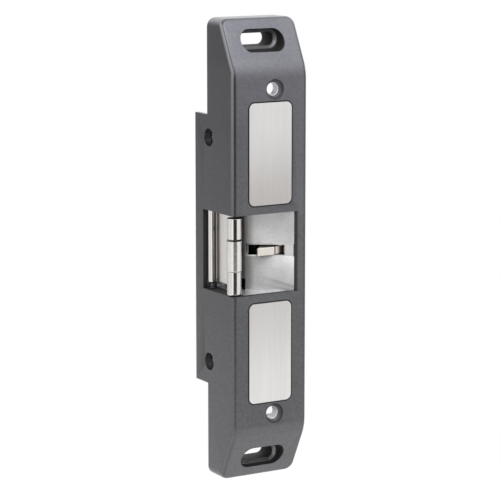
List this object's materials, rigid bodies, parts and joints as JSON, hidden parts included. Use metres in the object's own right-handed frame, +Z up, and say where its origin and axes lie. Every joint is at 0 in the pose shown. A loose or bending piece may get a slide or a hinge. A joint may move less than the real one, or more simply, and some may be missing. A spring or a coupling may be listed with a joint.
{
  "type": "door strike plate",
  "caption": "Surface mounted electric door strike with tapered ends, a swinging roller keeper beside a ramped latch pocket, and a latch monitor lever.",
  "frame": {"origin": "in the mounting plane at the back of the housing, on the housing's width centre line, midway between the two fixing holes in height", "axes": "+X to the right seen from the front, +Y from the front face back towards the door frame, +Z up along the length"},
  "size_m": [0.0421, 0.0372, 0.2286],
  "materials": {
    "housing_paint": "fine textured metallic dark grey, satin",
    "plate_steel": "brushed along the length",
    "liner_steel": "fine blasted satin",
    "keeper_steel": "satin plated",
    "roller_steel": "polished",
    "pin_steel": "ground",
    "slide_steel": "machined",
    "plunger_steel": "turned",
    "clip_steel": "spring steel",
    "frame_zinc": "zinc plated",
    "coil_tape": "wrapped",
    "bracket_zinc": "zinc plated",
    "screw_zinc": "zinc plated",
    "lever_nickel": "nickel plated",
    "magnet_nickel": "nickel plated",
    "board_green": "solder mask",
    "sensor_black": "moulded",
    "cover_steel": "zinc plated sheet",
    "grommet_rubber": "soft black",
    "terminal_grey": "moulded",
    "clamp_brass": "plated",
    "spring_steel": "spring wire"
  },
  "bodies": {
    "strike_body": {"upper_plate": "plate_steel", "lower_plate": "plate_steel", "housing": "housing_paint", "pocket_liner": "liner_steel", "keeper_pin": "pin_steel", "solenoid_frame": "frame_zinc", "solenoid_coil": "coil_tape", "solenoid_bracket": "bracket_zinc", "solenoid_screws": "screw_zinc", "side_screws": "screw_zinc", "lever_pin": "pin_steel", "sensor_board": "board_green", "reed_sensor": "sensor_black", "rear_cover": "cover_steel", "cover_screws": "screw_zinc", "cable_grommet": "grommet_rubber", "terminal_bracket": "bracket_zinc", "terminal_block": "terminal_grey", "clamp_screws": "clamp_brass", "keeper_spring": "spring_steel", "plunger_spring": "spring_steel", "lever_spring": "spring_steel"},
    "keeper_body": {"keeper": "keeper_steel", "roller_pin": "pin_steel"},
    "roller_body": {"keeper_roller": "roller_steel"},
    "slide_body": {"locking_slide": "slide_steel", "solenoid_plunger": "plunger_steel", "plunger_clip": "clip_steel"},
    "lever_body": {"monitor_lever": "lever_nickel", "lever_magnet": "magnet_nickel"}
  },
  "joints": [
    {"name": "keeper_hinge", "type": "hinge", "parent": "strike_body", "child": "keeper_body", "pos_m": [-0.0165, 0.0028, 0], "axis": [0, 0, 1], "range_deg": [-85, 0], "stiffness_Nm_per_rad": 0.02, "springref_deg": 45.84},
    {"name": "roller_spin", "type": "hinge", "parent": "keeper_body", "child": "roller_body", "pos_m": [-0.01745, -0.02, 0], "axis": [0, 0, 1], "continuous": true},
    {"name": "slide_lift", "type": "slide", "parent": "strike_body", "child": "slide_body", "axis": [0, 0, 1], "range_m": [0, 0.0045], "stiffness_N_per_m": 150, "springref_m": -0.004, "deforming": ["plunger_spring"]},
    {"name": "lever_swing", "type": "hinge", "parent": "strike_body", "child": "lever_body", "pos_m": [0.0115, -0.0155, 0], "axis": [0, 0, 1], "range_deg": [-22, 0], "stiffness_Nm_per_rad": 0.002, "springref_deg": 22.92}
  ]
}
